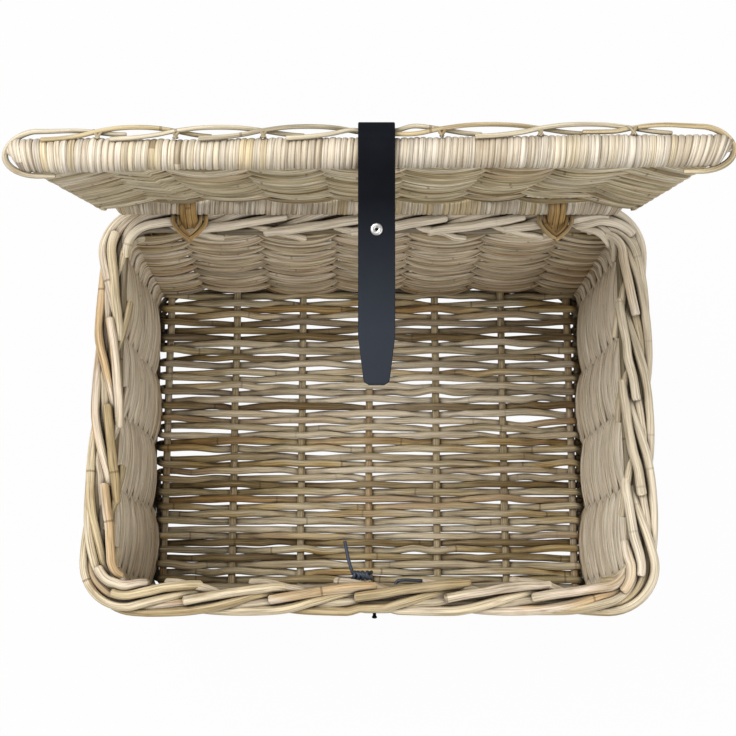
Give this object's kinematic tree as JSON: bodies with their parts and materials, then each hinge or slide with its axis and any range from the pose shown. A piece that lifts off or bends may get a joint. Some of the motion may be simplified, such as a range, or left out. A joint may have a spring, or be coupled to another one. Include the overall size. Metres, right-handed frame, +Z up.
{
  "type": "bicycle basket",
  "caption": "Rectangular woven rattan bicycle basket with a rolled border, a hinged lid lashed to the rim and a leather strap that closes on a press stud.",
  "frame": {"origin": "middle of the space that the basket takes with its lid open as pictured, on the ground", "axes": "+Z up, +X to the right, -Y the front where the strap closes, +Y the back where the lid is hinged"},
  "size_m": [0.46, 0.3478, 0.5971],
  "materials": {
    "rod": "bare round cane, satin, grey brown with amber streaks",
    "cane": "bare woven cane, satin, mixed olive, tan and amber strands",
    "pale_cane": "peeled pale cane, satin, cream with yellow streaks",
    "amber_cane": "glossy orange tan binding cane",
    "leather": "smooth dark leather with slightly lighter edges",
    "nickel": "bright rolled metal, lightly brushed",
    "black_stud": "black lacquered metal, glossy",
    "coated_wire": "black coated tie wire, satin"
  },
  "bodies": {
    "basket": {"frame_rib_1": "rod", "frame_rib_2": "rod", "frame_rib_3": "rod", "frame_rib_4": "rod", "frame_rib_5": "rod", "frame_rib_6": "rod", "frame_rib_7": "rod", "side_stake_left_1": "rod", "side_stake_left_2": "rod", "side_stake_left_3": "rod", "side_stake_left_4": "rod", "side_stake_right_1": "rod", "side_stake_right_2": "rod", "side_stake_right_3": "rod", "side_stake_right_4": "rod", "foot_hoop": "rod", "floor_weaver": "cane", "wall_weaver_first": "cane", "wall_weaver_second": "cane", "border_strand_1": "pale_cane", "border_strand_2": "pale_cane", "border_strand_3": "pale_cane", "hinge_lashing_left": "amber_cane", "hinge_lashing_right": "amber_cane", "catch_tab": "leather", "catch_stud": "black_stud", "catch_tie": "coated_wire"},
    "lid": {"lid_front_bar": "rod", "lid_rear_bar": "rod", "lid_front_wrap": "pale_cane", "lid_rear_wrap": "pale_cane", "lid_side_rod_left": "rod", "lid_side_rod_right": "rod", "lid_weaver": "cane", "lid_edging_rod": "pale_cane", "strap_loop": "leather", "strap_rivet": "nickel", "lid_stake_1": "rod", "lid_stake_2": "rod", "lid_stake_3": "rod", "lid_stake_4": "rod", "lid_stake_5": "rod", "lid_stake_6": "rod", "lid_stake_7": "rod"},
    "strap": {"strap_tail": "leather", "strap_snap": "nickel"}
  },
  "joints": [
    {"name": "lid_hinge", "type": "hinge", "parent": "basket", "child": "lid", "pos_m": [0, 0.16311, 0.2603], "axis": [1, 0, 0], "range_deg": [-125, 77.9]},
    {"name": "strap_hinge", "type": "hinge", "parent": "lid", "child": "strap", "pos_m": [0.006, 0.06341, 0.58816], "axis": [-1, 0, 0], "range_deg": [0, 90]}
  ]
}
